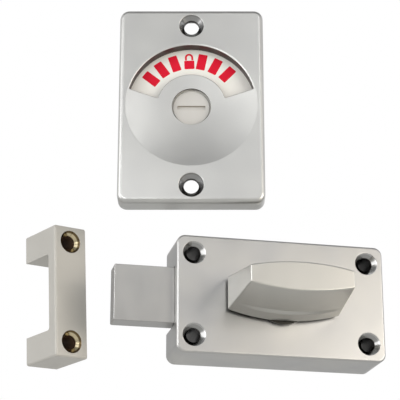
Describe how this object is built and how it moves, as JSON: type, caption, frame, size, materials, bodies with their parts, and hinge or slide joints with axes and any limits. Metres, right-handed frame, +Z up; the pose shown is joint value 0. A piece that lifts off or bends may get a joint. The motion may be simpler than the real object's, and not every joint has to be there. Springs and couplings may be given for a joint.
{
  "type": "lock and indicator set",
  "caption": "Rim lock with a large tapered turn and flat bolt, a staple keeper, and an upright indicator plate with dished face, arched window and coin-slot release.",
  "frame": {"origin": "the turn's axis in the lock's mounting face, which is also the centre of the lock's screw pattern", "axes": "+X towards the lock's end away from the bolt, +Y into the door behind the lock, +Z up. The three units stand apart as in the picture: the lock square to the frame, the indicator's front turned 12.3 degrees and the keeper's 25.1 degrees the other way about the upright, with the keeper leaning 2.9 degrees to its left in its own plane."},
  "size_m": [0.1307, 0.0735, 0.1299],
  "materials": {
    "satin_case": "satin chrome on a zinc casting",
    "satin_bolt": "satin chrome on a zinc casting",
    "satin_turn": "satin chrome on a zinc casting",
    "satin_keeper": "satin chrome on a zinc casting",
    "satin_plate": "satin chrome on a zinc casting",
    "satin_button": "satin chrome on a zinc casting",
    "sintered_steel": "sintered, oiled",
    "zinc_plated_steel": "bright zinc plate",
    "bush_brass": "turned",
    "bearing_nylon": "natural nylon",
    "spring_steel": "blued spring steel",
    "backing_steel": "zinc-plated sheet",
    "disc_white": "off-white enamel"
  },
  "bodies": {
    "mounted_parts": {"lock_case": "satin_case", "lock_back_plate": "backing_steel", "back_plate_screws": "zinc_plated_steel", "turn_bush": "bush_brass", "thrust_washer": "bearing_nylon", "bolt_spring": "spring_steel", "keeper": "satin_keeper", "indicator_plate": "satin_plate", "indicator_back_plate": "backing_steel", "indicator_back_screws": "zinc_plated_steel", "disc_spring_washer": "spring_steel"},
    "turn": {"thumbturn": "satin_turn", "turn_pinion": "sintered_steel", "turn_screw": "zinc_plated_steel"},
    "bolt": {"bolt": "satin_bolt"},
    "indicator": {"indicator_disc": "disc_white", "coin_button": "satin_button", "spindle_clip": "spring_steel", "tail_spindle": "zinc_plated_steel", "spindle_pin": "zinc_plated_steel"}
  },
  "joints": [
    {"name": "turn", "type": "hinge", "parent": "mounted_parts", "child": "turn", "pos_m": [0, 0, 0], "axis": [0, 1, 0], "range_deg": [0, 180]},
    {"name": "bolt", "type": "slide", "parent": "mounted_parts", "child": "bolt", "axis": [1, 0, 0], "range_m": [0, 0.01963]},
    {"name": "indicator", "type": "hinge", "parent": "mounted_parts", "child": "indicator", "pos_m": [-0.0353, -0.0247, 0.0688], "axis": [-0.213, -0.977, 0], "range_deg": [0, 180.05]}
  ],
  "couplings": [
    {"joint": "turn", "follows": "bolt", "rad_per_m": 160},
    {"joint": "indicator", "follows": "bolt", "rad_per_m": 160}
  ]
}
